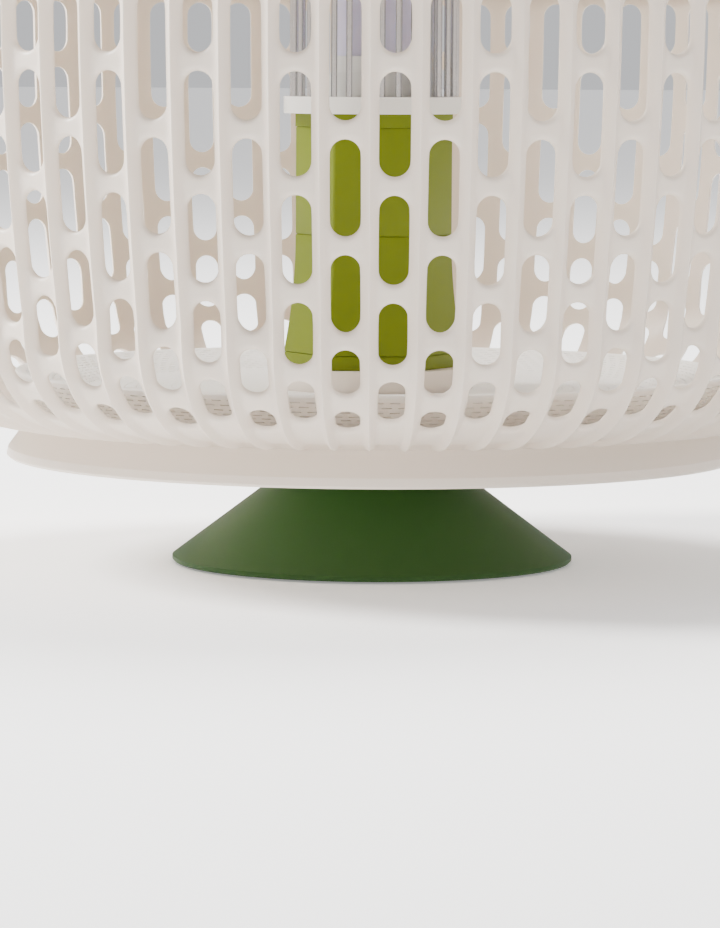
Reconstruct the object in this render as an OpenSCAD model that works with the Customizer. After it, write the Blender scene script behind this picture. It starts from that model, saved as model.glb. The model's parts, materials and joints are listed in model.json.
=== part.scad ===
/* [Cage] */
// Diameter of the cage over its panels at the joint between its halves
cage_d = 313; // [260:1:380]
// Height of the joint between the cage's two halves above the table
joint_z = 175; // [150:1:220]
// Height of the dome above the joint
dome_h = 123; // [100:1:150]
// Wall thickness of the cage panels
cage_wall = 2.4; // [1.8:0.1:3.5]
// Number of slot columns round the cage, an even number
columns = 72; // [48:4:80]
// Width of the rib left between two slot columns
rib_w = 4.9; // [3:0.1:7]
// Height of the bridge left between two slots of a column
bridge = 5; // [3:0.5:8]
// Half the height of the plain belt at the joint
belt = 6.5; // [4:0.5:10]

/* [Dish] */
// Radius of the dish's upper edge, where the cage stands on it
seat_r = 104; // [85:1:120]
// Height of the dish's upper edge above the table
seat_z = 42.6; // [38:0.2:60]
// Depth of the dish's side
dish_h = 10.4; // [7:0.2:16]
// How far the dish's lower edge stands out past its upper edge
dish_flare = 5.5; // [2:0.5:10]
// Wall thickness of the dish
dish_wall = 2.4; // [1.8:0.1:4]

/* [Foot] */
// Diameter of the foot on the table
foot_d = 120; // [100:1:160]
// Height of the foot's rolled lip
lip_h = 2.2; // [1.5:0.1:4]
// Slope of the foot's cone above the table, in degrees
cone_angle = 37; // [30:1:45]
// Radius of the neck that carries the dish
neck_r = 26; // [20:1:30]
// Wall thickness of the foot
foot_wall = 2.5; // [2:0.1:4]

/* [Column] */
// Width of the hexagonal column over its corners
column_w = 47; // [40:1:52]
// Extra radius of the column's corners at its foot
column_flare_w = 3.4; // [1:0.2:5]
// Radius of the white pedestal under the column
pedestal_r = 28; // [26:0.5:32]
// Height of the pedestal's top above the table
pedestal_z = 58.9; // [56:0.1:70]
// Height of the column's base ring
base_ring_h = 4.3; // [3:0.1:8]
// Height of the flared section
flare_h = 35.2; // [28:0.2:45]
// Height of the straight section
body_h = 32; // [24:1:45]
// Wall thickness of the column
column_wall = 2.2; // [1.6:0.1:3]

/* [Lamp and grid] */
// Radius of the outer ring of wires
grid_r = 24.5; // [22:0.5:25]
// Height of the wires between their two insulators
wire_h = 120; // [90:1:130]
// Radius of one wire
wire_r = 0.8; // [0.5:0.1:1]
// Number of wires in the outer ring
outer_count = 32; // [20:2:40]
// Number of wires in the inner ring
inner_count = 24; // [16:2:28]
// Radius of one lamp tube
tube_r = 6; // [5:0.5:7]

/* [Tray] */
// How far the tray's rim stands out past the dish's upper edge
tray_over = 3; // [1:0.5:8]
// Height of the tray's rim above its foot
tray_h = 12.8; // [10:0.2:18]
// Wall thickness of the tray
tray_wall = 2; // [1.5:0.1:3]

/* [Switch and inlet] */
// Radius of the power button
button_r = 3.7; // [3:0.1:4]
// How far the power button goes in
button_travel = 2; // [1:0.1:2.5]
// Radius of the round hole that takes the power plug
plug_r = 2.9; // [2.5:0.1:3.2]

/* [Carry ring] */
// Radius of the ring's rod
ring_rod = 2.5; // [2:0.1:3]
// Radius of the ring's bow, to the middle of its rod
ring_bow = 20; // [16:1:24]

/* [Hidden] */

// Clearances
gap = 0.3;
seam = 0.2;
turn_gap = 0.05;
cut = 1;

// Screws
thread_r = 1.3;
clear_r = 1.7;
head_r = 2.8;
head_h = 1.6;

// Cage
cage_r = cage_d / 2;
pitch = 360 / columns;
wall_draw = 8.5;
bowl_r = cage_r - wall_draw;
bowl_h = 35.4;
bowl_z = seat_z + bowl_h;
rim_flange_w = 14;
rim_flange_r = seat_r - rim_flange_w;
rim_flange_h = 2.4;
cage_screw_r = seat_r - rim_flange_w / 2;
cage_screw_angle = 30 + pitch / 2;
bowl_power = 2.2;
dome_power = 2.3;
cap_seat_r = 48;
vent_r = 20;
lip_depth = 5;
lip_wall = 1.6;
first_slot_a = seat_z + 5.4;
first_slot_b = seat_z + 8.4;
rows_a_low = [6.2, 13.4, 20.6, 26];
rows_b_low = [12.2, 17, 24, 28];
rows_a_high = [30.5, 27, 20];
rows_b_high = [16.5, 28, 23, 15];

// Dish and foot
dish_z = seat_z - dish_h;
foot_r = foot_d / 2;
foot_clear = 0.6;
pad_h = 1;
neck_z = seat_z - dish_wall;
flange_h = 2.5;
flange_r = neck_r + 7;
cable_r = 8;
neck_screw_r = neck_r + 3.4;
cone_top_z = lip_h + (foot_r - neck_r) * tan(cone_angle);
foot_slant = foot_wall / sin(cone_angle);
plate_z = foot_clear + 0.4;
plate_h = 2;
plate_r = foot_r - foot_wall - 1.6;
pad_r = 6;
pad_top_z = plate_z + pad_h / 2;
foot_screw_r = foot_r - 12;
foot_screw_length = 5.6;
foot_post_r = 3.4;
ballast_z = plate_z + plate_h;
ballast_h = 7;

// Column
column_r = column_w / 2;
base_z = pedestal_z + base_ring_h;
flare_z = base_z + flare_h;
cap_z = flare_z + body_h;
cap_h = 4;
column_bore = column_r - column_wall / cos(30);
post_r = 14.5;
column_thread_r = 1.4;

// Lamp and grid
holder_h = 12;
lamp_base_h = 9;
insulator_h = 5;
grid_z = cap_z + cap_h;
wire_z = grid_z + insulator_h;
grid_top_z = wire_z + wire_h;
inner_r = grid_r - 5;
insulator_r = grid_r + 2.5;
bolt_r = 1.5;
bolt_circle_r = inner_r + 2.5;
socket_well_r = insulator_r - 14.5;

// Tray
tray_r = seat_r + tray_over;
tray_z = seat_z + rim_flange_h + gap;
tray_hole_r = pedestal_r + 2;
tray_floor_z = tray_z + 5.3;

// Switch and inlet
boss_r = 5;
boss_z = 8.4;
boss_out = foot_r - 4;
button_angle = 60;
inlet_angle = 90;
button_in = foot_r - 16;
socket_r = boss_r - 1;
switch_depth = 5.5;
switch_w = 8;
switch_h = 6;

// Top
dome_z = joint_z + dome_h;
top_cap_h = 14;
cap_screw_r = cap_seat_r - 12;
cap_screw_angle = pitch / 2;
cap_thread_r = 1.4;
lug_w = 5;
hinge_z = dome_z + top_cap_h + ring_rod + 1;

function superellipse(x, n) = pow(max(0, 1 - pow(x, n)), 1 / n);

// Outer radius of the cage's side between the bowl and the joint
function side_r(z) = cage_r - wall_draw * pow((joint_z - z) / (joint_z - bowl_z), 2);

// Outer radius of the cage at a height
function cage_out(z) =
  z >= joint_z
    ? cap_seat_r + (cage_r - cap_seat_r) * superellipse((z - joint_z) / dome_h, dome_power)
  : z >= bowl_z ? side_r(z)
  : seat_r + (bowl_r - seat_r) * superellipse((bowl_z - z) / (bowl_z - seat_z), bowl_power);

// A point of a quarter superellipse, from [0, 1] at 0 degrees to [1, 0] at 90 degrees
function corner(t, n) = [pow(sin(t), 2 / n), pow(cos(t), 2 / n)];

// The same outline moved inwards by the wall, as a second list of points
function normal_in(p, q, w) = let (d = q - p) w * [-d[1], d[0]] / norm(d);
function inset(points, w) = [
  for (i = [0:len(points) - 1])
    points[i] + normal_in(points[max(0, i - 1)], points[min(len(points) - 1, i + 1)], w)
];
function reversed(list) = [for (i = [len(list) - 1:-1:0]) list[i]];

// Slot rows as [low, high] pairs, laid upwards from a first height
function rows(start, lengths, i = 0) =
  i >= len(lengths) ? []
  : concat([[start, start + lengths[i]]], rows(start + lengths[i] + bridge, lengths, i + 1));
function next_start(start, lengths) = start + [for (l = lengths) 1] * [for (l = lengths) l + bridge];

lower_outline = concat(
  [for (t = [0:15:90]) let (c = corner(t, bowl_power))
    [seat_r + (bowl_r - seat_r) * c[0], bowl_z - bowl_h * c[1]]],
  [for (k = [1:3]) let (z = bowl_z + k * (joint_z - bowl_z) / 3) [side_r(z), z]]
);
upper_outline = [
  for (t = [90:-15:0]) let (c = corner(t, dome_power))
    [cap_seat_r + (cage_r - cap_seat_r) * c[0], joint_z + dome_h * c[1]]
];

rows_a_lower = concat(
  rows(first_slot_a, rows_a_low),
  [[next_start(first_slot_a, rows_a_low), joint_z - belt]]
);
rows_b_lower = concat(
  rows(first_slot_b, rows_b_low),
  [[next_start(first_slot_b, rows_b_low), joint_z - belt]]
);
rows_a_upper = rows(joint_z + belt, rows_a_high);
rows_b_upper = rows(joint_z + belt, rows_b_high);

// A radial punch with round ends
module slot_punch(z0, z1) {
  mid_r = cage_out((z0 + z1) / 2);
  w = 2 * mid_r * tan(pitch / 2) - rib_w;
  straight = max(z1 - z0 - w, 0.2);
  mid = (z0 + z1) / 2;
  rotate([90, 0, 90])
    translate([0, mid, seat_r - 20])
      linear_extrude(cage_r) {
        square([w, straight], center = true);
        translate([0, straight / 2]) circle(d = w, $fn = 32);
        translate([0, -straight / 2]) circle(d = w, $fn = 32);
      }
}

// A shell of flat panels, one to each slot column, from a closed outline of [radius, z] points
module panelled_shell(band) {
  m = len(band);
  corner_scale = 1 / cos(pitch / 2);
  points = [for (i = [0:columns - 1]) for (p = band)
    [p[0] * corner_scale * cos(i * pitch), p[0] * corner_scale * sin(i * pitch), p[1]]];
  faces = [for (i = [0:columns - 1]) for (j = [0:m - 1])
    let (i2 = (i + 1) % columns, j2 = (j + 1) % m)
      [m * i + j, m * i + j2, m * i2 + j2, m * i2 + j]];
  polyhedron(points, faces);
}

module cage_shell(band, rows_a, rows_b) {
  difference() {
    panelled_shell(band);
    for (i = [0:columns - 1])
      rotate((i + 0.5) * pitch)
        for (s = i % 2 == 0 ? rows_b : rows_a) slot_punch(s[0], s[1]);
  }
}

// A tube round the Z axis
module tube(z, h, r_out, r_in) {
  difference() {
    translate([0, 0, z]) cylinder(h = h, r = r_out, $fn = 96);
    translate([0, 0, z - 1]) cylinder(h = h + 2, r = r_in, $fn = 96);
  }
}

// A hexagonal prism with a flat face towards -Y
module hex_prism(z, h, r) {
  translate([0, 0, z]) cylinder(h = h, r = r, $fn = 6);
}

// Copies at equal angles round Z, at a radius
module ring_of(count, r, first = 0) {
  for (i = [0:count - 1])
    rotate(first + i * 360 / count) translate([r, 0, 0]) children();
}

// A pan-head screw that points up from z, its head below
module screw(z, length, shank_r, head_r, head_h) {
  translate([0, 0, z]) cylinder(h = head_h, r = head_r, $fn = 32);
  translate([0, 0, z + head_h]) cylinder(h = length, r = shank_r, $fn = 32);
}

module radial_boss(angle, r, from, to) {
  rotate(angle)
    translate([from, 0, boss_z])
      rotate([0, 90, 0]) cylinder(h = to - from, r = r, $fn = 48);
}

// Green conical foot, moulded with its neck, flange and two rear bosses
module foot_shell() {
  color("darkolivegreen")
  difference() {
    union() {
      rotate_extrude($fn = 128)
        polygon([
          [foot_r - foot_wall, foot_clear], [foot_r - 0.6, foot_clear], [foot_r, foot_clear + 0.6],
          [foot_r, lip_h], [neck_r, cone_top_z], [neck_r, neck_z - flange_h],
          [flange_r, neck_z - flange_h], [flange_r, neck_z], [neck_r - foot_wall, neck_z],
          [neck_r - foot_wall, cone_top_z - 1],
          [foot_r - foot_wall, lip_h + 1 - (foot_slant - foot_wall) * tan(cone_angle)]
        ]);
      intersection() {
        ring_of(4, foot_screw_r, 45) translate([0, 0, ballast_z]) cylinder(h = 10, r = foot_post_r, $fn = 32);
        rotate_extrude($fn = 128)
          polygon([
            [20, 0], [foot_r - 1, 0], [foot_r - 1, lip_h], [20, lip_h + (foot_r - 21) * tan(cone_angle)]
          ]);
      }
      radial_boss(button_angle, boss_r, button_in, boss_out);
      radial_boss(inlet_angle, boss_r, button_in, boss_out);
    }
    radial_boss(button_angle, button_r + turn_gap, button_in - 1, boss_out + 5);
    radial_boss(inlet_angle, socket_r, button_in - 1, boss_out + 5);
    ring_of(4, foot_screw_r, 45) translate([0, 0, ballast_z - cut]) cylinder(h = 6, r = thread_r, $fn = 32);
    ring_of(4, neck_screw_r, 45) translate([0, 0, neck_z - 10]) cylinder(h = 20, r = clear_r, $fn = 32);
  }
}

// Plate that closes the foot underneath
module foot_plate() {
  color("dimgray")
  difference() {
    translate([0, 0, plate_z]) cylinder(h = plate_h, r = plate_r, $fn = 128);
    ring_of(4, foot_screw_r, 45) translate([0, 0, plate_z - cut]) cylinder(h = 6, r = clear_r, $fn = 32);
    ring_of(4, foot_screw_r, 45)
      translate([0, 0, plate_z - cut]) cylinder(h = 1 + cut, r = head_r + gap, $fn = 32);
    ring_of(4, foot_screw_r)
      translate([0, 0, plate_z - cut]) cylinder(h = pad_top_z - plate_z + cut, r = pad_r, $fn = 48);
  }
}

module rubber_pads() {
  color("black")
    ring_of(4, foot_screw_r) cylinder(h = pad_top_z, r = pad_r, $fn = 48);
}

module foot_screws() {
  color("silver")
    ring_of(4, foot_screw_r, 45) screw(plate_z, foot_screw_length, thread_r, head_r, 1);
}

// Steel weight in the foot
module ballast_ring() {
  color("gray") tube(ballast_z, ballast_h, button_in - 7, neck_r - 6);
}

// Block with the push switch behind the power button
module switch_block() {
  color("black")
    rotate(button_angle)
      translate([button_in - switch_depth, -switch_w / 2, boss_z - switch_w / 2])
        cube([switch_depth, switch_w, switch_h]);
}

// Power button: a round cap with a shoulder inside the boss
module power_button() {
  color("ivory")
    rotate(button_angle)
      translate([button_in + button_travel + 0.4, 0, boss_z])
        rotate([0, 90, 0]) {
          cylinder(h = boss_out - button_in - 0.4, r = button_r, $fn = 64);
          translate([0, 0, boss_out - button_in - 0.4])
            cylinder(h = 0.6, r1 = button_r, r2 = button_r - 0.6, $fn = 64);
        }
}

// Low-voltage power inlet: a socket with a centre contact
module inlet_socket() {
  color("black")
    rotate(inlet_angle)
      translate([button_in, 0, boss_z])
        rotate([0, 90, 0]) {
          difference() {
            cylinder(h = boss_out - button_in + 0.4, r = socket_r, $fn = 48);
            translate([0, 0, 3]) cylinder(h = boss_out, r = plug_r, $fn = 48);
          }
          cylinder(h = boss_out - button_in - 1.5, r = 1, $fn = 32);
        }
}

// White dish: a shallow pan, open underneath, that carries the cage
module dish() {
  edge_r = seat_r + dish_flare;
  color("linen")
  difference() {
    rotate_extrude($fn = 180)
      polygon([
        [cable_r, neck_z], [seat_r - dish_wall, neck_z], [edge_r - dish_wall, dish_z], [edge_r - 0.8, dish_z],
        [edge_r, dish_z + 0.8], [edge_r - 0.5, dish_z + 3], [seat_r + 0.5, seat_z - 1.4],
        [seat_r - 0.4, seat_z], [cable_r, seat_z]
      ]);
    ring_of(4, neck_screw_r, 45) translate([0, 0, neck_z - cut]) cylinder(h = 10, r = thread_r, $fn = 32);
    ring_of(6, cage_screw_r, cage_screw_angle)
      translate([0, 0, neck_z - cut]) cylinder(h = 10, r = clear_r, $fn = 32);
    ring_of(2, post_r) translate([0, 0, neck_z - cut]) cylinder(h = 10, r = clear_r, $fn = 32);
  }
}

module neck_screws() {
  color("silver")
    ring_of(4, neck_screw_r, 45)
      screw(neck_z - flange_h - head_h, flange_h + dish_wall - seam, thread_r, head_r - seam, head_h);
}

// Lower half of the cage: the bowl, up to the joint
module cage_lower() {
  inner = inset(lower_outline, cage_wall);
  band = concat(
    lower_outline,
    [[cage_r - cage_wall, joint_z]],
    reversed([for (i = [1:len(inner) - 2]) inner[i]]),
    [[seat_r, seat_z + rim_flange_h], [rim_flange_r, seat_z + rim_flange_h], [rim_flange_r, seat_z]]
  );
  color("linen")
  difference() {
    cage_shell(band, rows_a_lower, rows_b_lower);
    ring_of(6, cage_screw_r, cage_screw_angle)
      translate([0, 0, seat_z - cut]) cylinder(h = 8, r = thread_r, $fn = 32);
  }
}

module cage_screws() {
  color("silver")
    ring_of(6, cage_screw_r, cage_screw_angle)
      screw(neck_z - head_h, dish_wall + rim_flange_h - seam, thread_r, head_r, head_h);
}

// White pedestal under the column
module pedestal() {
  color("linen") {
    difference() {
      union() {
        tube(seat_z, pedestal_z - seat_z, pedestal_r, pedestal_r - 2.4);
        tube(seat_z, 2.2, pedestal_r - 1, cable_r);
        tube(pedestal_z - 2.2, 2.2, pedestal_r - 1, cable_r);
        ring_of(2, post_r) translate([0, 0, seat_z]) cylinder(h = pedestal_z - seat_z, r = 3.6, $fn = 32);
      }
      ring_of(2, post_r) translate([0, 0, seat_z - cut]) cylinder(h = pedestal_z, r = clear_r, $fn = 32);
    }
  }
}

// Outer corner radius of the column at a height above the flare's foot
function flare_r(h) = column_r + column_flare_w * pow(1 - h / flare_h, 2);

module column_base() {
  color("yellowgreen")
  difference() {
    hex_prism(pedestal_z, base_ring_h, column_r + column_flare_w - 0.2);
    hex_prism(pedestal_z + 1.8, base_ring_h, column_bore);
    translate([0, 0, pedestal_z - cut]) cylinder(h = 6, r = cable_r, $fn = 48);
    ring_of(2, post_r) translate([0, 0, pedestal_z - cut]) cylinder(h = 6, r = clear_r, $fn = 32);
  }
}

// Flared section: a hexagonal shell whose corners curve outwards at its foot
module column_flare() {
  levels = 5;
  points = [
    for (j = [0:levels]) let (h = flare_h * j / levels, r = flare_r(h))
      for (i = [0:5]) [r * cos(60 * i), r * sin(60 * i), base_z + h]
  ];
  sides = [for (j = [0:levels - 1]) for (i = [0:5]) let (k = (i + 1) % 6)
    [6 * j + i, 6 * j + 6 + i, 6 * j + 6 + k, 6 * j + k]];
  ends = [[for (i = [0:5]) i], [for (i = [5:-1:0]) 6 * levels + i]];
  color("olivedrab")
  difference() {
    polyhedron(points, concat(sides, ends));
    hex_prism(base_z - 1, flare_h + 2, column_bore);
  }
}

module column_body() {
  color("olivedrab")
  difference() {
    hex_prism(flare_z, body_h, column_r);
    hex_prism(flare_z - 1, body_h + 2, column_bore);
  }
}

// Cap that closes the column and carries the lamp and grid
module column_cap() {
  color("olivedrab")
  difference() {
    union() {
      hex_prism(cap_z, cap_h, column_r);
      ring_of(2, post_r) translate([0, 0, cap_z - 8]) cylinder(h = 9, r = 3, $fn = 32);
    }
    translate([0, 0, cap_z - 1]) cylinder(h = cap_h + 2, r = cable_r, $fn = 48);
    ring_of(2, post_r) translate([0, 0, cap_z - 9]) cylinder(h = 8, r = column_thread_r, $fn = 32);
  }
}

// Two long screws that clamp the pedestal and column from below
module column_screws() {
  color("silver")
    ring_of(2, post_r) screw(neck_z - head_h, cap_z - 2 - neck_z, column_thread_r, head_r, head_h);
}

module circuit_board() {
  color("darkgreen")
    translate([-11, 7.5, base_z + 1]) cube([22, 1.6, cap_z - base_z - 12]);
}

module transformer() {
  color("goldenrod")
    translate([-8, -11, base_z + 6]) {
      cube([16, 14, 4]);
      translate([0, 0, 20]) cube([16, 14, 4]);
      translate([8, 7, 3.9]) cylinder(h = 16.2, r = 6, $fn = 48);
    }
}

module capacitors() {
  color("royalblue")
    for (i = [0:1])
      translate([0, 7.5, base_z + 14 + 20 * i])
        rotate([90, 0, 0]) cylinder(h = 3, r = 5, $fn = 48);
}

module lamp_holder() {
  color("white")
  difference() {
    union() {
      tube(grid_z, holder_h, socket_well_r + 2, tube_r + 2);
      tube(grid_z, 2, socket_well_r + 2, cable_r - 4);
    }
    translate([0, 0, grid_z + holder_h - 4]) cylinder(h = 5, r = socket_well_r, $fn = 64);
  }
}

module lamp_base() {
  color("lightgray")
    translate([0, 0, grid_z + 2]) {
      cylinder(h = holder_h - 6, r = tube_r + 1.8, $fn = 64);
      translate([0, 0, holder_h - 6]) cylinder(h = lamp_base_h, r = socket_well_r - seam, $fn = 64);
    }
}

// Twin lamp tube, joined near its top
module lamp_tube() {
  z = grid_z + holder_h - 4 + lamp_base_h;
  h = grid_top_z - 12 - z;
  color("lavender") {
    for (side = [-1, 1])
      translate([side * (tube_r + 0.3), 0, z]) {
        cylinder(h = h, r = tube_r - 0.6, $fn = 48);
        translate([0, 0, h]) sphere(r = tube_r - 0.6, $fn = 48);
      }
    translate([0, 0, z + h - 8])
      rotate([0, 90, 0]) cylinder(h = 2 * tube_r, r = 2.2, center = true, $fn = 32);
  }
}

module grid_base() {
  color("white")
  difference() {
    tube(grid_z, insulator_h, insulator_r, insulator_r - 12);
    ring_of(4, bolt_circle_r, 45) translate([0, 0, grid_z - cut]) cylinder(h = 8, r = bolt_r, $fn = 32);
  }
}

module grid_top() {
  color("white")
  difference() {
    tube(grid_top_z, insulator_h, insulator_r, insulator_r - 12);
    ring_of(4, bolt_circle_r, 45) translate([0, 0, grid_top_z - cut]) cylinder(h = 8, r = bolt_r, $fn = 32);
  }
}

module outer_wires() {
  color("silver")
    ring_of(outer_count, grid_r, 180 / outer_count)
      translate([0, 0, wire_z]) cylinder(h = wire_h, r = wire_r, $fn = 16);
}

module inner_wires() {
  color("silver")
    ring_of(inner_count, inner_r, 180 / inner_count)
      translate([0, 0, wire_z]) cylinder(h = wire_h, r = wire_r, $fn = 16);
}

// Long bolts that hold the two insulators apart
module grid_bolts() {
  color("gainsboro")
    ring_of(4, bolt_circle_r, 45)
      translate([0, 0, grid_z + seam])
        cylinder(h = grid_top_z + insulator_h - grid_z - 2 * seam, r = bolt_r - 0.02, $fn = 32);
}

module grid_cap() {
  color("olivedrab")
    rotate_extrude($fn = 96)
      polygon([
        [0, grid_top_z + insulator_h], [insulator_r, grid_top_z + insulator_h],
        [insulator_r, grid_top_z + insulator_h + 1.5], [insulator_r - 4, grid_top_z + insulator_h + 4],
        [0, grid_top_z + insulator_h + 4]
      ]);
}

// Slitted tray that catches what falls: a shallow bowl on a sloping skirt
module tray() {
  foot_ring = tray_r - 8.5;
  bowl_edge = tray_r - 22;
  color("white")
    rotate_extrude($fn = 144)
      polygon([
        [tray_hole_r, tray_floor_z], [bowl_edge, tray_floor_z], [tray_r - 9, tray_floor_z + 1],
        [foot_ring - tray_wall, tray_z], [foot_ring, tray_z], [tray_r - 2.5, tray_z + tray_h * 0.55],
        [tray_r, tray_z + tray_h - 0.8], [tray_r - 0.8, tray_z + tray_h], [tray_r - 2.2, tray_z + tray_h],
        [bowl_edge, tray_floor_z + tray_wall], [tray_hole_r, tray_floor_z + tray_wall]
      ]);
}

// Upper half of the cage: a slotted dome with a lip that drops inside the lower half
module cage_upper() {
  inner = inset(upper_outline, cage_wall);
  skin = [for (i = [1:len(upper_outline) - 1]) upper_outline[i]];
  lip_out = cage_r - cage_wall - gap;
  band = concat(
    [[cage_r, joint_z + seam]],
    skin,
    [[vent_r, dome_z], [vent_r, dome_z - cage_wall], [cap_seat_r, dome_z - cage_wall]],
    reversed([for (i = [1:len(inner) - 2]) inner[i]]),
    [[lip_out - lip_wall, joint_z + 8], [lip_out - lip_wall, joint_z - lip_depth]],
    [[lip_out, joint_z - lip_depth], [lip_out, joint_z + seam]]
  );
  color("linen")
  difference() {
    cage_shell(band, rows_a_upper, rows_b_upper);
    ring_of(3, cap_screw_r, cap_screw_angle)
      translate([0, 0, dome_z - 5]) cylinder(h = 10, r = clear_r, $fn = 32);
  }
}

// Green cap on the dome, with two lugs for the carry ring
module top_cap() {
  color("darkolivegreen")
  difference() {
    union() {
      rotate_extrude($fn = 128)
        polygon([
          [0, dome_z], [cap_seat_r, dome_z],
          for (a = [0:15:60])
            [cap_seat_r - 20 + 20 * cos(a), dome_z + 2.5 + (top_cap_h - 2.5) * sin(a) / sin(60)],
          [0, dome_z + top_cap_h]
        ]);
      for (side = [-1, 1])
        translate([side * (ring_bow + lug_w / 2 + ring_rod + gap), 0, 0]) ring_lug();
    }
    translate([0, 0, hinge_z]) rotate([0, 90, 0])
      cylinder(h = 4 * ring_bow, r = ring_rod - 0.6 + turn_gap, center = true, $fn = 48);
    ring_of(3, cap_screw_r, cap_screw_angle)
      translate([0, 0, dome_z - cut]) cylinder(h = 8, r = cap_thread_r, $fn = 32);
  }
}

module ring_lug() {
  translate([-lug_w / 2, -5, dome_z + top_cap_h - 2]) cube([lug_w, 10, hinge_z - dome_z - top_cap_h + 2]);
  translate([-lug_w / 2, 0, hinge_z]) rotate([0, 90, 0]) cylinder(h = lug_w, r = 5, $fn = 48);
}

module cap_screws() {
  color("silver")
    ring_of(3, cap_screw_r, cap_screw_angle)
      screw(dome_z - cage_wall - head_h, cage_wall + 5, cap_thread_r - turn_gap, head_r, head_h);
}

// Carry ring: a half hoop on two straight legs, folded back on the cap
module carry_ring() {
  leg = 12;
  color("darkolivegreen")
    translate([0, 0, hinge_z]) {
      translate([0, leg, 0])
        rotate_extrude(angle = 180, $fn = 96) translate([ring_bow, 0]) circle(r = ring_rod, $fn = 32);
      for (side = [-1, 1])
        translate([side * ring_bow, 0, 0]) {
          rotate([-90, 0, 0]) cylinder(h = leg, r = ring_rod, $fn = 32);
          sphere(r = ring_rod, $fn = 32);
          rotate([0, side * 90, 0]) cylinder(h = lug_w + ring_rod + gap, r = ring_rod - 0.6, $fn = 48);
        }
    }
}

foot_shell();
foot_plate();
rubber_pads();
foot_screws();
ballast_ring();
switch_block();
power_button();
inlet_socket();
dish();
neck_screws();
cage_lower();
cage_screws();
pedestal();
column_base();
column_flare();
column_body();
column_cap();
column_screws();
circuit_board();
transformer();
capacitors();
lamp_holder();
lamp_base();
lamp_tube();
grid_base();
grid_top();
outer_wires();
inner_wires();
grid_bolts();
grid_cap();
tray();
cage_upper();
top_cap();
cap_screws();
carry_ring();
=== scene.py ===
# %% [markdown]
# # An electric bug zapper, finished in Blender
# The mechanical model comes in as a fixed frame: every part already has its place, its size and the
# body that it moves with. This file gives each part its real surface. Most parts keep the frame's
# mesh and only get a material. The two halves of the cage, the tray and the column's three sections
# are built again, with ribs, slits, small radii and seams, in the same places. Lengths are in metres.

# %% Load the frame and keep its box
import json
import math

import bmesh
import bpy
from mathutils import Matrix, Vector


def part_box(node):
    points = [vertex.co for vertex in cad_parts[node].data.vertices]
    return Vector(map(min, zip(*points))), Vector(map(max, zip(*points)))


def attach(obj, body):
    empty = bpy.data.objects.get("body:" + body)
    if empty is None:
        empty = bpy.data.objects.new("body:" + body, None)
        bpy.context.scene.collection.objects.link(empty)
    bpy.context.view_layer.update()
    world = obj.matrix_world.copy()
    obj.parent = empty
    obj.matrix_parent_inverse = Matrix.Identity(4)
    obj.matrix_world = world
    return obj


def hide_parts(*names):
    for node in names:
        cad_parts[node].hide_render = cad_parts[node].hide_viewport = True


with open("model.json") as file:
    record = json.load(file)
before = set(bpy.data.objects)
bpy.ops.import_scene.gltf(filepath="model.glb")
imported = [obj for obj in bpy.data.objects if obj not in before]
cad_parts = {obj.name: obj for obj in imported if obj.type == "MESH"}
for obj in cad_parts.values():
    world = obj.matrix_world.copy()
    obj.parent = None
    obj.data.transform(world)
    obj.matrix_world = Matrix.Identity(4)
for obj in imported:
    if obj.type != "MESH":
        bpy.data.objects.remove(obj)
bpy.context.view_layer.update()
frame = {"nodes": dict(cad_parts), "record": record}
MM = 0.001

# %% [markdown]
# ## The camera
# A view from about 1.35 m with a long lens looks almost flat, yet the near rims still dip in soft
# ellipses. A 175 mm lens, a camera 152 mm above the table and a pitch of about five degrees give
# that view. The zapper's axis stands a few millimetres right of the picture's middle.

# %% Camera
CAMERA_DISTANCE = 1.349
CAMERA_HEIGHT = 0.1519
CAMERA_PITCH = 5.19
CAMERA_ROLL = 0.3
CAMERA_ASIDE = -0.0037
CAMERA_TURN = 0.55
LENS_MM = 175.0

camera_data = bpy.data.cameras.new("studio_camera")
camera_data.lens = LENS_MM
camera_data.sensor_width = 36.0
camera_data.clip_start = 0.05
camera_data.clip_end = 20.0
camera = bpy.data.objects.new("studio_camera", camera_data)
bpy.context.scene.collection.objects.link(camera)
camera.matrix_world = (
    Matrix.Rotation(math.radians(CAMERA_TURN), 4, "Z")
    @ Matrix.Translation((CAMERA_ASIDE, -CAMERA_DISTANCE, CAMERA_HEIGHT))
    @ Matrix.Rotation(math.radians(90 - CAMERA_PITCH), 4, "X")
    @ Matrix.Rotation(math.radians(CAMERA_ROLL), 4, "Z")
)
bpy.context.scene.camera = camera
print("camera", [round(c, 4) for c in camera.location], "lens", LENS_MM)

# %% [markdown]
# ## Small helpers
# Three helpers do most of the work: one makes an object from points and faces, one turns a mesh's
# faces outwards and counts its open edges, and one builds a node-based plastic with a fine grain.

# %% Mesh helpers
def new_object(name, vertices, faces, material=None, smooth_angle=40):
    """An object from plain vertices and faces, shaded smooth but for edges sharper than smooth_angle."""
    mesh = bpy.data.meshes.new(name)
    mesh.from_pydata([tuple(v) for v in vertices], [], [tuple(f) for f in faces])
    mesh.update()
    mesh.shade_smooth()
    mesh.set_sharp_from_angle(angle=math.radians(smooth_angle))
    piece = bpy.data.objects.new(name, mesh)
    bpy.context.scene.collection.objects.link(piece)
    if material:
        mesh.materials.append(material)
    return piece


def close_mesh(name, mesh, weld=0.0):
    """Welds close points, turns the faces outwards and prints the triangles and open edges."""
    work = bmesh.new()
    work.from_mesh(mesh)
    if weld:
        bmesh.ops.remove_doubles(work, verts=work.verts, dist=weld)
    open_edges = sum(1 for edge in work.edges if len(edge.link_faces) != 2)
    bmesh.ops.recalc_face_normals(work, faces=work.faces)
    work.to_mesh(mesh)
    work.free()
    triangles = sum(len(p.vertices) - 2 for p in mesh.polygons)
    print(name, "triangles", triangles, "open edges", open_edges)


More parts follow.
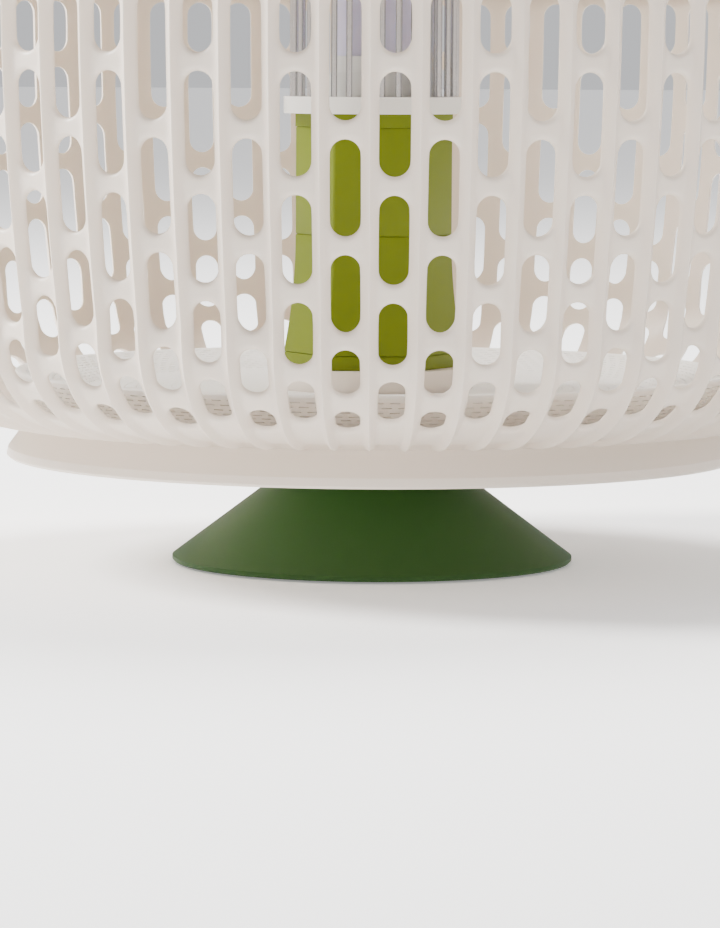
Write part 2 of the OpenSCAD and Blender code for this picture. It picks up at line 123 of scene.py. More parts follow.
# %% Material helper
BLEED_RADIUS = (0.004, 0.003, 0.002)
POLISH_SPREAD = 0.06
GRAIN_STRENGTH = 0.35


def node_of(tree, kind, **values):
    node = tree.nodes.new(kind)
    for name, value in values.items():
        setattr(node, name, value)
    return node


def plastic(
    name, colour, roughness=0.45, grain=0.03 * MM, grain_scale=1500.0, shade=0.06, bleed=0.0,
    coat=0.0, metallic=0.0, broad=18.0, gloss=0.5,
):
    """A slightly uneven colour, a fine grain in relief and a little polish wear.

    grain is the relief's height, shade the spread of the colour, bleed the share of light that
    passes below the surface, and broad the scale of the uneven patches.
    """
    material = bpy.data.materials.new(name)
    material.use_nodes = True
    tree = material.node_tree
    shader = tree.nodes["Principled BSDF"]
    shader.inputs["Metallic"].default_value = metallic
    shader.inputs["Coat Weight"].default_value = coat
    shader.inputs["Specular IOR Level"].default_value = gloss
    if bleed:
        shader.inputs["Subsurface Weight"].default_value = bleed
        shader.inputs["Subsurface Radius"].default_value = BLEED_RADIUS
        shader.inputs["Subsurface Scale"].default_value = 1.0
    place = node_of(tree, "ShaderNodeTexCoord")
    clouds = node_of(tree, "ShaderNodeTexNoise")
    clouds.inputs["Scale"].default_value = broad
    clouds.inputs["Detail"].default_value = 3.0
    tree.links.new(place.outputs["Object"], clouds.inputs["Vector"])
    mix = node_of(tree, "ShaderNodeMix", data_type="RGBA")
    mix.inputs["A"].default_value = (*[c * (1 - shade) for c in colour], 1)
    mix.inputs["B"].default_value = (*[min(1, c * (1 + shade)) for c in colour], 1)
    tree.links.new(clouds.outputs["Fac"], mix.inputs["Factor"])
    tree.links.new(mix.outputs["Result"], shader.inputs["Base Color"])
    polish = node_of(tree, "ShaderNodeMapRange")
    polish.inputs["To Min"].default_value = roughness - POLISH_SPREAD
    polish.inputs["To Max"].default_value = roughness + POLISH_SPREAD
    tree.links.new(clouds.outputs["Fac"], polish.inputs["Value"])
    tree.links.new(polish.outputs["Result"], shader.inputs["Roughness"])
    grains = node_of(tree, "ShaderNodeTexNoise")
    grains.inputs["Scale"].default_value = grain_scale
    grains.inputs["Detail"].default_value = 2.0
    tree.links.new(place.outputs["Object"], grains.inputs["Vector"])
    bump = node_of(tree, "ShaderNodeBump")
    bump.inputs["Strength"].default_value = GRAIN_STRENGTH
    bump.inputs["Distance"].default_value = grain
    tree.links.new(grains.outputs["Fac"], bump.inputs["Height"])
    tree.links.new(bump.outputs["Normal"], shader.inputs["Normal"])
    return material


# %% [markdown]
# ## The finishes
# The cage and the dish are one family of warm white plastic; a little light bleeds through it, which
# is why its shaded sides look warm and not grey. The column is an olive lime, the foot a dark satin
# green. Metal, rubber, glass and the board inside follow the same recipe with other values.

# %% Finishes
IVORY = plastic("warm_white_plastic", (0.74, 0.65, 0.56), roughness=0.42, bleed=0.12, shade=0.02)
DISH_IVORY = plastic("warm_white_dish", (0.79, 0.705, 0.615), roughness=0.4, bleed=0.06, shade=0.02)
TRAY_WHITE = plastic("white_tray_plastic", (0.90, 0.87, 0.82), roughness=0.45, bleed=0.1, shade=0.02)
LIME = plastic("olive_lime_plastic", (0.148, 0.195, 0.003), roughness=0.5, shade=0.05, gloss=0.25)
GREEN = plastic(
    "dark_green_plastic", (0.028, 0.088, 0.014), roughness=0.55, grain=0.06 * MM, shade=0.08, gloss=0.3,
)
DARK_GREY = plastic("dark_grey_plastic", (0.06, 0.06, 0.06), roughness=0.6)
BLACK = plastic("black_plastic", (0.015, 0.015, 0.015), roughness=0.5)
RUBBER = plastic("pad_rubber", (0.02, 0.02, 0.02), roughness=0.8, grain=0.1 * MM, grain_scale=900)
STEEL = plastic("zinc_plated_steel", (0.56, 0.57, 0.58), roughness=0.32, metallic=1.0, grain_scale=2500)
WEIGHT = plastic("dull_weight_steel", (0.16, 0.15, 0.15), roughness=0.6, metallic=1.0, grain=0.1 * MM)
WIRE = plastic("bright_wire", (0.62, 0.62, 0.63), roughness=0.22, metallic=1.0, grain_scale=3000)
INSULATOR = plastic("white_insulator", (0.82, 0.81, 0.77), roughness=0.25, bleed=0.05)
LAMP = plastic("lamp_glass", (0.78, 0.74, 0.93), roughness=0.12, bleed=0.3, shade=0.02)
BOARD = plastic("circuit_board_lacquer", (0.02, 0.13, 0.04), roughness=0.3, coat=0.3)
WINDING = plastic("winding_tape", (0.42, 0.24, 0.05), roughness=0.4)
BLUE = plastic("capacitor_coating", (0.02, 0.10, 0.36), roughness=0.25, coat=0.4)
BUTTON = plastic("button_plastic", (0.75, 0.71, 0.64), roughness=0.3)
print("finishes:", len(bpy.data.materials))

# %% [markdown]
# ## The stage
# A plain pale floor runs far out under the zapper, and it glows a little, as backlit paper does. The
# light is a strong panel on the left, a larger one overhead and behind, a weak one on the right and
# an even sky all round.

# %% Stage and light
FLOOR_PAPER = plastic(
    "floor_paper", (0.96, 0.953, 0.945), roughness=0.75, shade=0.01, broad=2.0, gloss=0.2,
)
FLOOR_GLOW = 0.3
FLOOR_REACH = 40.0
SKY_COLOUR = (0.96, 0.97, 1.0, 1)
SKY_STRENGTH = 0.72
paper_shader = FLOOR_PAPER.node_tree.nodes["Principled BSDF"]
paper_shader.inputs["Emission Color"].default_value = (1.0, 0.995, 0.99, 1)
paper_shader.inputs["Emission Strength"].default_value = FLOOR_GLOW
signs = ((-1, -1), (1, -1), (1, 1), (-1, 1))
floor_corners = [(x * FLOOR_REACH, y * FLOOR_REACH, 0) for x, y in signs]
floor = new_object("studio_floor", floor_corners, [(0, 1, 2, 3)], FLOOR_PAPER)


def area_light(name, place, target, size, power, colour):
    data = bpy.data.lights.new(name, "AREA")
    data.shape = "DISK"
    data.size = size
    data.energy = power
    data.color = colour
    light = bpy.data.objects.new(name, data)
    bpy.context.scene.collection.objects.link(light)
    light.location = place
    light.rotation_euler = (Vector(target) - Vector(place)).to_track_quat("-Z", "Y").to_euler()


MIDDLE = (0, 0, 0.12)
area_light("left_panel", (-1.7, 0.1, 1.3), MIDDLE, 0.7, 125, (1.0, 0.985, 0.96))
area_light("right_panel", (1.8, -1.0, 1.4), MIDDLE, 1.4, 6, (0.97, 0.98, 1.0))
area_light("top_panel", (0.2, 0.9, 2.2), MIDDLE, 1.3, 105, (1.0, 1.0, 1.0))

world = bpy.data.worlds.new("studio_sky")
world.use_nodes = True
world.node_tree.nodes["Background"].inputs["Color"].default_value = SKY_COLOUR
world.node_tree.nodes["Background"].inputs["Strength"].default_value = SKY_STRENGTH
bpy.context.scene.world = world
print("stage ready")

# %% [markdown]
# ## The cage
# The cage is a bowl and a dome of thin moulded plastic, with rounded ribs running up it and a column
# of round-ended slots between each pair of ribs. Its shape follows a rule, so it is made like this:
# an outline is worked out from a few radii and heights, two neighbouring slot columns are meshed on
# it with their half ribs and rounded slot edges, and a Geometry Nodes tree copies the pair round
# the axis.

# %% Cage measures
low_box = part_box("cage_lower")
high_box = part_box("cage_upper")
tray_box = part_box("tray")
COLUMNS = 72
HALF_PITCH = math.pi / COLUMNS
CAGE_R = low_box[1].x * math.cos(HALF_PITCH)
SEAT_Z = low_box[0].z
JOINT_Z = low_box[1].z
DOME_Z = high_box[1].z
TRAY_OVER = 3 * MM
SEAT_R = tray_box[1].x - TRAY_OVER
BOWL_Z = SEAT_Z + 35.4 * MM
BOWL_R = CAGE_R - 8.5 * MM
BOWL_POWER = 2.2
DOME_POWER = 2.3
FLANGE_R = SEAT_R - 14 * MM
CAP_SEAT_R = 48 * MM
VENT_R = 20 * MM
CAGE_WALL = 2.4 * MM
INSIDE = 3.3 * MM
JOINT_GAP = 0.2 * MM
LIP_CLEARANCE = 0.4 * MM
LIP_WALL = 1.6 * MM
RIB_HEIGHT = 1.8 * MM
RIB_REACH = 1.95 * MM
RIB_FADE = 3 * MM
RIB_GAP = 4.9 * MM
BRIDGE = 5 * MM
BELT = 6.5 * MM
EDGE_ROUND = 1.2 * MM
EDGE_RINGS = ((0.0, 1.0), (0.3, 0.29), (1.0, 0.0))
EDGE_LIMIT = 0.72
LEVEL_STEP = 4.2 * MM
measures = {"radius": CAGE_R, "seat radius": SEAT_R, "seat": SEAT_Z, "joint": JOINT_Z}
print("cage in mm:", {name: round(value / MM, 1) for name, value in measures.items()})

# %% [markdown]
# INSIDE is the depth of the inner face under a rib's crest. EDGE_RINGS gives the lines that round a
# slot's edge, as a distance from the edge and a drop below the face, both in shares of EDGE_ROUND.
# EDGE_LIMIT keeps them short of the next rib or bridge.
#
# An outline is easiest to use when it can be asked two things: where is the point this far along it,
# and which way does the surface face there. Both come from a finely sampled list and its running length.

# %% An outline with a running length
NORMAL_STEP = 1.5 * MM


class Outline:
    """A (radius, z) curve that gives its point and outward normal at any distance along it."""

    def __init__(self, points):
        self.points = points
        self.marks = [0.0]
        for a, b in zip(points, points[1:]):
            self.marks.append(self.marks[-1] + math.dist(a, b))
        self.length = self.marks[-1]

    def span(self, s):
        i = 0
        while i < len(self.marks) - 2 and self.marks[i + 1] < s:
            i += 1
        share = (s - self.marks[i]) / (self.marks[i + 1] - self.marks[i])
        return i, min(1.0, max(0.0, share))

    def at(self, s):
        i, share = self.span(s)
        a, b = self.points[i], self.points[i + 1]
        return a[0] + (b[0] - a[0]) * share, a[1] + (b[1] - a[1]) * share

    def normal(self, s):
        a = self.at(max(0.0, s - NORMAL_STEP))
        b = self.at(min(self.length, s + NORMAL_STEP))
        size = math.dist(a, b)
        return (b[1] - a[1]) / size, -(b[0] - a[0]) / size

    def at_height(self, z):
        for i, (a, b) in enumerate(zip(self.points, self.points[1:])):
            if a[1] <= z <= b[1] and b[1] > a[1]:
                share = (z - a[1]) / (b[1] - a[1])
                return self.marks[i] + share * (self.marks[i + 1] - self.marks[i])
        return self.length


def corner_point(turn, power):
    """A point of a quarter superellipse, from (0, 1) at 0 to (1, 0) at a quarter turn."""
    across, along = max(0.0, math.sin(turn)), max(0.0, math.cos(turn))
    return across ** (2 / power), along ** (2 / power)


def lower_outline(steps=40):
    """The bowl: a rounded corner up from the seat, then a side that swells to the joint."""
    points = []
    for i in range(steps + 1):
        across, down = corner_point(math.pi / 2 * i / steps, BOWL_POWER)
        points.append((SEAT_R + (BOWL_R - SEAT_R) * across, BOWL_Z - (BOWL_Z - SEAT_Z) * down))
    for i in range(1, steps + 1):
        z = BOWL_Z + (JOINT_Z - BOWL_Z) * i / steps
        below = (JOINT_Z - z) / (JOINT_Z - BOWL_Z)
        points.append((CAGE_R - (CAGE_R - BOWL_R) * below**2, z))
    return Outline(points)


def upper_outline(steps=60):
    """The dome: one rounded corner from the joint to the flat seat of the cap."""
    points = []
    for i in range(steps + 1):
        across, up = corner_point(math.pi / 2 * (1 - i / steps), DOME_POWER)
        r = CAP_SEAT_R + (CAGE_R - CAP_SEAT_R) * across
        points.append((r, JOINT_Z + (DOME_Z - JOINT_Z) * up))
    points[0] = (CAGE_R, JOINT_Z + JOINT_GAP)
    return Outline(points)


LOWER = lower_outline()
UPPER = upper_outline()
print("outline lengths in mm:", round(LOWER.length * 1000, 1), round(UPPER.length * 1000, 1))

# %% [markdown]
# The slots stand in two kinds of column that take turns round the cage, shifted against each other
# so that a bridge meets the side of a slot. Their rows are lengths in millimetres, laid upwards
# from a first slot with a bridge between each two.

# %% Slot rows
def rows(start, lengths):
    found = []
    for length in lengths:
        found.append((start, start + length * MM))
        start += length * MM + BRIDGE
    return found


def rows_up_to(start, lengths, top):
    found = rows(start, lengths)
    return found + [(found[-1][1] + BRIDGE, top)]


ROWS_A_LOW = rows_up_to(SEAT_Z + 5.4 * MM, [6.2, 13.4, 20.6, 26], JOINT_Z - BELT)
ROWS_B_LOW = rows_up_to(SEAT_Z + 8.4 * MM, [12.2, 17, 24, 28], JOINT_Z - BELT)
ROWS_A_HIGH = rows(JOINT_Z + BELT, [30.5, 27, 20])
ROWS_B_HIGH = rows(JOINT_Z + BELT, [16.5, 28, 23, 15])


def slots_on(outline, heights):
    """Slots as (start, end, half width), start and end measured along the outline."""
    found = []
    for low, high in heights:
        middle = outline.at(outline.at_height((low + high) / 2))[0]
        half = middle * math.tan(HALF_PITCH) - RIB_GAP / 2
        found.append((outline.at_height(low), outline.at_height(high), half))
    return found


def cell_lines(slots):
    """The lines across a column, half way along each bridge, that part one slot's cell from the next."""
    lines = [slots[0][0] - BRIDGE / 2]
    lines += [(a[1] + b[0]) / 2 for a, b in zip(slots, slots[1:])]
    return lines + [slots[-1][1] + BRIDGE / 2]


def shared_levels(outline, *lines):
    """Distances along the outline at which every rib has a point, so that neighbours meet exactly."""
    marks = sorted({0.0, outline.length, *[x for group in lines for x in group]})
    marks = [m for m in marks if 0 <= m <= outline.length]
    levels = [marks[0]]
    for a, b in zip(marks, marks[1:]):
        parts = max(1, round((b - a) / LEVEL_STEP))
        levels += [a + (b - a) * k / parts for k in range(1, parts + 1)]
    return levels


low_count = len(ROWS_A_LOW) + len(ROWS_B_LOW)
high_count = len(ROWS_A_HIGH) + len(ROWS_B_HIGH)
print("slots in a pair of columns:", low_count, "low,", high_count, "high")

# %% [markdown]
# One column is meshed as a flat ribbon bent to the outline. Its face sinks with the distance from the
# column's side, which leaves a rounded half rib, and drops again at a slot, which rounds the slot's
# edge. Rings of quads run from each cell's border to its slot, through the wall and back to the
# border inside.

# %% One slot column
def rib_height(from_edge):
    """Height of the wall's face under the rib's crest, at a distance from the rib's middle."""
    share = min(1.0, from_edge / RIB_REACH)
    return -RIB_HEIGHT * (1 - 0.5 * (1 + math.cos(math.pi * share)))


MIDDLE_SHARES = (0.18, 0.42, 0.64)
RIB_STEPS = (1.5 * MM, 0.75 * MM, 0)
NARROW_COLUMN = 6 * MM


def across_points(half_width):
    """Distances from a column's middle at which a line across it has its points."""
    squeeze = min(1.0, half_width / NARROW_COLUMN)
    right = [share * half_width for share in MIDDLE_SHARES]
    right += [half_width - step * squeeze for step in RIB_STEPS]
    return [-w for w in reversed(right)] + [0.0] + right


class Ribbon:
    """Collects the vertices and faces of one column; x is outwards, y is across, z is up."""

    def __init__(self, outline):
        self.outline = outline
        self.vertices = []
        self.faces = []

    def half_width(self, s):
        return self.outline.at(s)[0] * math.tan(HALF_PITCH)

    def add(self, s, w, depth):
        r, z = self.outline.at(s)
        nr, nz = self.outline.normal(s)
        share = w / self.half_width(s)
        x = r + nr * depth
        self.vertices.append((x, x * math.tan(HALF_PITCH) * share, z + nz * depth))
        return len(self.vertices) - 1

    def add_at(self, r, z, share):
        self.vertices.append((r, r * math.tan(HALF_PITCH) * share, z))
        return len(self.vertices) - 1

    def face_depth(self, s, w):
        fade = min(1.0, s / RIB_FADE)
        return fade * rib_height(self.half_width(s) - abs(w))

    def face_point(self, s, w):
        return self.add(s, w, self.face_depth(s, w))

    def join_rows(self, one, other):
        for k in range(len(one) - 1):
            self.faces.append((one[k], one[k + 1], other[k + 1], other[k]))

    def join_rings(self, one, other):
        for k in range(len(one)):
            n = (k + 1) % len(one)
            self.faces.append((one[k], one[n], other[n], other[k]))

    def line(self, s, depth=None):
        points = across_points(self.half_width(s))
        if depth is None:
            return [self.face_point(s, w) for w in points]
        return [self.add(s, w, depth) for w in points]


def cell_border(ribbon, levels, low, high):
    """The points round a cell, as (across, along), counter-clockwise from its lower right corner."""
    side = [s for s in levels if low < s < high]
    low_line = across_points(ribbon.half_width(low))
    high_line = across_points(ribbon.half_width(high))
    border = [(w, low) for w in low_line]
    border += [(ribbon.half_width(s), s) for s in side]
    border += [(w, high) for w in reversed(high_line)]
    border += [(-ribbon.half_width(s), s) for s in reversed(side)]
    return border


def slot_edge(slot, border):
    """A slot's edge with one point for each border point: straight sides, evenly divided ends."""
    start, end, half = slot
    low = start + half
    high = max(end - half, low)
    top = [k for k, (w, s) in enumerate(border) if s > high]
    bottom = [k for k, (w, s) in enumerate(border) if s < low]
    bottom = [k for k in bottom if k > top[-1]] + [k for k in bottom if k < top[0]]
    edge = [(math.copysign(half, w), s) for w, s in border]
    for order, middle, from_turn in ((top, high, 0.0), (bottom, low, math.pi)):
        for place, k in enumerate(order):
            turn = from_turn + math.pi * (place + 1) / (len(order) + 1)
            edge[k] = (half * math.cos(turn), middle + half * math.sin(turn))
    return edge


def mesh_cell(ribbon, levels, slot, low, high, inside):
    """One slot with its rounded edge, out to the cell's border, and the same cell inside."""
    border = cell_border(ribbon, levels, low, high)
    edge = slot_edge(slot, border)
    rings = []
    for distance, drop in EDGE_RINGS:
        ring = []
        for (w, s), (ew, es) in zip(border, edge):
            gap = math.dist((w, s), (ew, es))
            share = min(EDGE_LIMIT, distance * EDGE_ROUND / gap)
            pw, ps = ew + (w - ew) * share, es + (s - es) * share
            ring.append(ribbon.add(ps, pw, ribbon.face_depth(ps, pw) - drop * EDGE_ROUND))
        rings.append(ring)
    middle = []
    for (w, s), (ew, es) in zip(border, edge):
        gap = math.dist((w, s), (ew, es))
        share = (1 + min(EDGE_LIMIT, EDGE_ROUND / gap)) / 2
        middle.append(ribbon.face_point(es + (s - es) * share, ew + (w - ew) * share))
    rings += [middle, [ribbon.face_point(s, w) for w, s in border]]
    for one, other in zip(rings, rings[1:]):
        ribbon.join_rings(other, one)
    back = [ribbon.add(es, ew, -inside) for ew, es in edge]
    back_border = [ribbon.add(s, w, -inside) for w, s in border]
    ribbon.join_rings(rings[0], back)
    ribbon.join_rings(back, back_border)


SAME = 1e-9


def mesh_plain(ribbon, levels, low, high, inside):
    """A stretch of the column without slots, outside and inside."""
    steps = [s for s in levels if low - SAME <= s <= high + SAME]
    for a, b in zip(steps, steps[1:]):
        ribbon.join_rows(ribbon.line(a), ribbon.line(b))
        ribbon.join_rows(ribbon.line(b, -inside), ribbon.line(a, -inside))


def slot_column(outline, slots, levels, low_end, high_end, inside):
    """A whole column; low_end and high_end are (radius, z) points that close the wall's ends."""
    ribbon = Ribbon(outline)
    lines = cell_lines(slots)
    mesh_plain(ribbon, levels, 0.0, lines[0], inside)
    mesh_plain(ribbon, levels, lines[-1], outline.length, inside)
    for slot, low, high in zip(slots, lines, lines[1:]):
        mesh_cell(ribbon, levels, slot, low, high, inside)
    for s, end in ((0.0, low_end), (outline.length, high_end)):
        half = ribbon.half_width(s)
        shares = [w / half for w in across_points(half)]
        chain = [ribbon.line(s)]
        chain += [[ribbon.add_at(r, z, share) for share in shares] for r, z in end]
        chain.append(ribbon.line(s, -inside))
        for a, b in zip(chain, chain[1:]):
            ribbon.join_rows(*((b, a) if s == 0.0 else (a, b)))
    return ribbon


def wedge_mesh(name, first, second):
    """Two neighbouring columns, turned to their places, as one mesh."""
    vertices = []
    faces = []
    for turn, ribbon in ((HALF_PITCH, first), (3 * HALF_PITCH, second)):
        base = len(vertices)
        spin = Matrix.Rotation(turn, 3, "Z")
        vertices += [spin @ Vector(v) for v in ribbon.vertices]
        faces += [tuple(base + k for k in face) for face in ribbon.faces]
    return new_object(name, vertices, faces)


# %% [markdown]
# ### A tree that turns a wedge into a ring
# The tree has the number of copies, the weld distance and the finish as named inputs. It lays points
# at the axis, puts the wedge on each of them with a growing turn, makes the copies real, welds the
# seams and sets the material. The result becomes a plain mesh, so that its faces can be counted and
# turned outwards.

# %% Ring tree
def ring_tree():
    tree = bpy.data.node_groups.new("copies_round_the_axis", "GeometryNodeTree")
    face = tree.interface
    face.new_socket("Geometry", in_out="OUTPUT", socket_type="NodeSocketGeometry")
    face.new_socket("Geometry", in_out="INPUT", socket_type="NodeSocketGeometry")
    face.new_socket("Copies", in_out="INPUT", socket_type="NodeSocketInt")
    face.new_socket("Weld distance", in_out="INPUT", socket_type="NodeSocketFloat")
    face.new_socket("Finish", in_out="INPUT", socket_type="NodeSocketMaterial")
    given = tree.nodes.new("NodeGroupInput")
    result = tree.nodes.new("NodeGroupOutput")
    points = tree.nodes.new("GeometryNodePoints")
    index = tree.nodes.new("GeometryNodeInputIndex")
    whole_turn = node_of(tree, "ShaderNodeMath", operation="DIVIDE")
    whole_turn.inputs[0].default_value = 2 * math.pi
    turn = node_of(tree, "ShaderNodeMath", operation="MULTIPLY")
    angles = tree.nodes.new("ShaderNodeCombineXYZ")
    rotation = tree.nodes.new("FunctionNodeEulerToRotation")
    place = tree.nodes.new("GeometryNodeInstanceOnPoints")
    real = tree.nodes.new("GeometryNodeRealizeInstances")
    weld = tree.nodes.new("GeometryNodeMergeByDistance")
    finish = tree.nodes.new("GeometryNodeSetMaterial")
    link = tree.links.new
    link(given.outputs["Copies"], points.inputs["Count"])
    link(given.outputs["Copies"], whole_turn.inputs[1])
    link(index.outputs["Index"], turn.inputs[0])
    link(whole_turn.outputs[0], turn.inputs[1])
    link(turn.outputs[0], angles.inputs["Z"])
    link(angles.outputs[0], rotation.inputs[0])
    link(points.outputs[0], place.inputs["Points"])
    link(given.outputs["Geometry"], place.inputs["Instance"])
    link(rotation.outputs[0], place.inputs["Rotation"])
    link(place.outputs[0], real.inputs[0])
    link(real.outputs[0], weld.inputs["Geometry"])
    link(given.outputs["Weld distance"], weld.inputs["Distance"])
    link(weld.outputs[0], finish.inputs["Geometry"])
    link(given.outputs["Finish"], finish.inputs["Material"])
    link(finish.outputs[0], result.inputs[0])
    return tree


RING_TREE = ring_tree()


def socket_key(tree, name):
    for item in tree.interface.items_tree:
        if item.item_type == "SOCKET" and item.in_out == "INPUT" and item.name == name:
            return item.identifier
    raise KeyError(name)


WELD = 0.02 * MM
CAGE_SMOOTH_ANGLE = 50


def ring_of_copies(name, source, copies, finish):
    """Runs the ring tree on a source object and returns the result as a plain, closed mesh object."""
    modifier = source.modifiers.new("ring", "NODES")
    modifier.node_group = RING_TREE
    modifier[socket_key(RING_TREE, "Copies")] = copies
    modifier[socket_key(RING_TREE, "Weld distance")] = WELD
    modifier[socket_key(RING_TREE, "Finish")] = finish
    graph = bpy.context.evaluated_depsgraph_get()
    mesh = bpy.data.meshes.new_from_object(source.evaluated_get(graph))
    bpy.data.objects.remove(source)
    close_mesh(name, mesh)
    mesh.shade_smooth()
    mesh.set_sharp_from_angle(angle=math.radians(CAGE_SMOOTH_ANGLE))
    piece = bpy.data.objects.new(name, mesh)
    bpy.context.scene.collection.objects.link(piece)
    return piece


# %% Both halves of the cage
def cage_half(name, outline, heights_a, heights_b, low_end, high_end):
    slots_a = slots_on(outline, heights_a)
    slots_b = slots_on(outline, heights_b)
    levels = shared_levels(outline, cell_lines(slots_a), cell_lines(slots_b))
    first = slot_column(outline, slots_b, levels, low_end, high_end, INSIDE)
    second = slot_column(outline, slots_a, levels, low_end, high_end, INSIDE)
    wedge = wedge_mesh(name + "_wedge", first, second)
    return ring_of_copies(name, wedge, COLUMNS // 2, IVORY)


bowl = cage_half(
    "cage_bowl", LOWER, ROWS_A_LOW, ROWS_B_LOW,
    [(FLANGE_R, SEAT_Z), (FLANGE_R, SEAT_Z + CAGE_WALL)], [],
)
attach(bowl, "base")
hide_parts("cage_lower")

lip_out = CAGE_R - INSIDE - LIP_CLEARANCE
lip_in = lip_out - LIP_WALL
lip_top = JOINT_Z + JOINT_GAP
lip_end = high_box[0].z
dome = cage_half(
    "cage_dome", UPPER, ROWS_A_HIGH, ROWS_B_HIGH,
    [(lip_out, lip_top), (lip_out, lip_end), (lip_in, lip_end), (lip_in, lip_top)],
    [(VENT_R, DOME_Z), (VENT_R, DOME_Z - CAGE_WALL)],
)
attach(dome, "cage_top")
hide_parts("cage_upper")

# %% [markdown]
# ## The tray
# The tray is a shallow white bowl on a sloping skirt. Fine slits in staggered rows run round it. Each
# slit is a shallow pocket: the ring of quads that holds it is split into four cells a period, and
# the three cells of the slit are sunk into the wall.

# %% Tray
TRAY_R = tray_box[1].x
TRAY_Z = tray_box[0].z
TRAY_TOP = tray_box[1].z
TRAY_HOLE_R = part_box("pedestal")[1].x + 2 * MM
TRAY_FLOOR = TRAY_Z + 7.3 * MM
TRAY_WALL = 2 * MM
SKIRT_TOP_Z = TRAY_Z + 7 * MM
SLIT_PERIODS = 144
SLIT_SHARES = (0.19, 0.31, 0.69, 0.81)
SLIT_WIDTH = 0.4 * MM
SKIRT_PITCH = 1.35 * MM
BOWL_PITCH = 1.9 * MM
FLOOR_PITCH = 3.5 * MM
SLIT_DEPTH = 0.45 * MM
SLIT_WELD = 0.002 * MM


def slit_face(start, end, pitch):
    """Ring lines with a slit row in every pitch, as (radius, z, parity of the slit row or None)."""
    length = math.dist(start, end)
    count = max(1, int(length / pitch))
    run, rise = end[0] - start[0], end[1] - start[1]
    lines = []
    for k in range(count):
        centre = (k + 0.5) * length / count
        for shift, kind in ((-SLIT_WIDTH / 2, k % 2), (SLIT_WIDTH / 2, None)):
            share = (centre + shift) / length
            lines.append((start[0] + run * share, start[1] + rise * share, kind))
    return lines


def tray_lines():
    """The tray's closed outline, counter-clockwise from its hole, with its slit rows."""
    under = TRAY_FLOOR - TRAY_WALL

    def plain(*places):
        return [(TRAY_R - inwards * MM, z, None) for inwards, z in places]

    def slits(start, end, pitch):
        return slit_face((TRAY_R - start[0] * MM, start[1]), (TRAY_R - end[0] * MM, end[1]), pitch)

    lines = [(TRAY_HOLE_R, under, None)]
    lines += plain((22, under), (9, under + 1 * MM), (10.5, TRAY_Z), (8.7, TRAY_Z), (8.3, TRAY_Z + 0.3 * MM))
    lines += slits((8.1, TRAY_Z + 0.6 * MM), (2.5, SKIRT_TOP_Z), SKIRT_PITCH)
    lines += slits((2.5, SKIRT_TOP_Z), (0, TRAY_TOP - 1.6 * MM), SKIRT_PITCH)
    lines += plain((0, TRAY_TOP - 0.8 * MM), (0.25, TRAY_TOP - 0.2 * MM))
    lines += plain((0.9, TRAY_TOP), (2.0, TRAY_TOP - 0.1 * MM))
    lines += slits((2.6, TRAY_TOP - 0.4 * MM), (22, TRAY_FLOOR), BOWL_PITCH)
    lines += slits((24, TRAY_FLOOR), (52, TRAY_FLOOR), FLOOR_PITCH)
    return lines + [(TRAY_HOLE_R, TRAY_FLOOR, None)]


def slitted_ring(name, lines, material):
    """Turns the lines round Z in quads and sinks the slit cells."""
    marks = [i + share for i in range(SLIT_PERIODS) for share in SLIT_SHARES]
    turns = [mark * 2 * math.pi / SLIT_PERIODS for mark in marks]
    count = len(turns)
    vertices = [(r * math.cos(t), r * math.sin(t), z) for r, z, kind in lines for t in turns]
    faces = []
    for row, (r, z, kind) in enumerate(lines):
        after = (row + 1) % len(lines)
        r2, z2, _ = lines[after]
        size = math.dist((r, z), (r2, z2))
        sink = (-(z2 - z) / size * SLIT_DEPTH, (r2 - r) / size * SLIT_DEPTH)
        for k in range(count):
            n = (k + 1) % count
            corners = (row * count + k, row * count + n, after * count + n, after * count + k)
            part = (k + 2 * (kind or 0)) % 4
            if kind is None or part == 3:
                faces.append(corners)
                continue
            base = len(vertices)
            near, far = (r + sink[0], z + sink[1]), (r2 + sink[0], z2 + sink[1])
            pocket = ((near, turns[k]), (near, turns[n]), (far, turns[n]), (far, turns[k]))
            for (deep, height), t in pocket:
                vertices.append((deep * math.cos(t), deep * math.sin(t), height))
            faces.append((base, base + 1, base + 2, base + 3))
            faces.append((corners[0], corners[1], base + 1, base))
            faces.append((corners[2], corners[3], base + 3, base + 2))
            if part == 0:
                faces.append((corners[3], corners[0], base, base + 3))
            if part == 2:
                faces.append((corners[1], corners[2], base + 2, base + 1))
    piece = new_object(name, vertices, faces, material, 35)
    close_mesh(name, piece.data, SLIT_WELD)
    return piece


tray = slitted_ring("slitted_tray", tray_lines(), TRAY_WHITE)
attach(tray, "tray")
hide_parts("tray")

# %% [markdown]
# ## The column
# The column is a stack of hexagonal mouldings. Each has soft vertical edges and a small chamfer at
# both ends, so two stacked sections meet in a thin groove. One function lofts them all from levels
# of height and corner radius, and a bore keeps them hollow.

# %% Column sections
COLUMN_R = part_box("column_body")[1].x
FLARE_EXTRA = 3.4 * MM
CORNER_ROUND = 1.3 * MM
BORE_ROUND = 0.6 * MM
COLUMN_BORE = COLUMN_R - 2.6 * MM
SEAM_CHAMFER = 0.45 * MM


def rounded_hexagon(radius, rounding, steps=5):
    """Points of a hexagon with rounded corners, its flats facing -Y and +Y."""
    points = []
    inner = radius - rounding / math.cos(math.radians(30))
    for corner in range(6):
        middle = math.radians(60 * corner)
        for step in range(steps):
            a = middle + math.radians(60 * (step / (steps - 1) - 0.5))
            x = inner * math.cos(middle) + rounding * math.cos(a)
            y = inner * math.sin(middle) + rounding * math.sin(a)
            points.append((x, y))
    return points


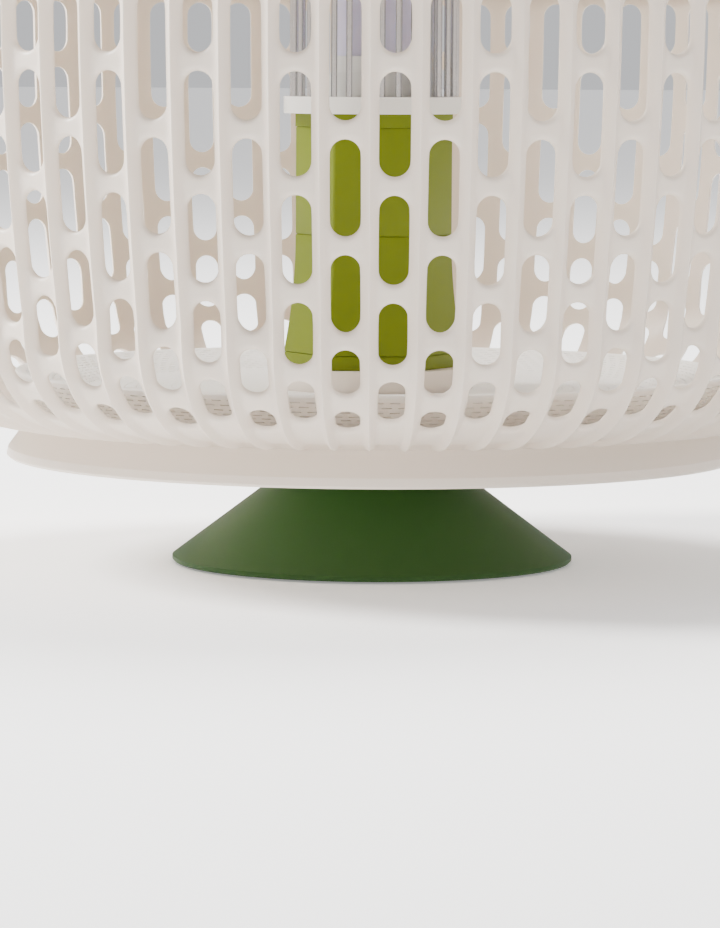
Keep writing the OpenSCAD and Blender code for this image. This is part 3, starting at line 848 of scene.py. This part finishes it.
def hexagon_section(name, levels, node):
    """Lofts (z, corner radius) levels into a hollow hexagonal piece that stands in for a node."""
    outer = [(z, r, CORNER_ROUND) for z, r in levels]
    inner = [(z, COLUMN_BORE, BORE_ROUND) for z in (levels[-1][0], levels[0][0])]
    rings = [[(x, y, z) for x, y in rounded_hexagon(r, turn)] for z, r, turn in outer + inner]
    count = len(rings[0])
    vertices = [v for ring in rings for v in ring]
    faces = []
    for row in range(len(rings)):
        after = (row + 1) % len(rings)
        for k in range(count):
            n = (k + 1) % count
            faces.append((row * count + k, row * count + n, after * count + n, after * count + k))
    piece = new_object(name, vertices, faces, LIME, 30)
    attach(piece, "base")
    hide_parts(node)


def chamfered(box, radius, steps):
    """Levels over a box's height with a round chamfer at each end; radius follows the height."""
    z0, z1 = box[0].z, box[1].z
    chamfer = SEAM_CHAMFER
    levels = [(z0, radius(z0) - chamfer), (z0 + 0.3 * chamfer, radius(z0) - 0.25 * chamfer)]
    for i in range(steps + 1):
        z = z0 + chamfer + (z1 - z0 - 2 * chamfer) * i / steps
        levels.append((z, radius(z)))
    return levels + [(z1 - 0.3 * chamfer, radius(z1) - 0.25 * chamfer), (z1, radius(z1) - chamfer)]


base_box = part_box("column_base")
flare_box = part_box("column_flare")
body_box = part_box("column_body")


def flare_radius(z):
    share = (z - flare_box[0].z) / (flare_box[1].z - flare_box[0].z)
    return COLUMN_R + FLARE_EXTRA * (1 - share) ** 2


hexagon_section("lime_base_ring", chamfered(base_box, lambda z: base_box[1].x, 1), "column_base")
hexagon_section("lime_flare", chamfered(flare_box, flare_radius, 10), "column_flare")
hexagon_section("lime_body", chamfered(body_box, lambda z: COLUMN_R, 1), "column_body")
print("column from", round(base_box[0].z, 4), "to", round(body_box[1].z, 4))

# %% [markdown]
# ## The parts that keep the frame's own mesh
# Screws, wires, lamp, board, foot and dish have their shapes in the frame already, so they only need
# their finish. The record names a material slot for each node, and each slot has one finish here.

# %% Finishes for the frame's nodes
FINISH = {
    "green_foot": GREEN, "lime_column": LIME, "ivory_cage": IVORY, "ivory_dish": DISH_IVORY,
    "white_tray": TRAY_WHITE, "grey_plastic": DARK_GREY, "black_plastic": BLACK, "rubber_pad": RUBBER,
    "steel": STEEL, "weight_steel": WEIGHT, "insulator": INSULATOR, "lamp_glass": LAMP, "wire": WIRE,
    "board": BOARD, "winding": WINDING, "capacitor": BLUE, "button": BUTTON,
}
for part in frame["record"]["subparts"]:
    node = frame["nodes"][part["node"]]
    node.data.materials.clear()
    node.data.materials.append(FINISH[part["material_slot"]])
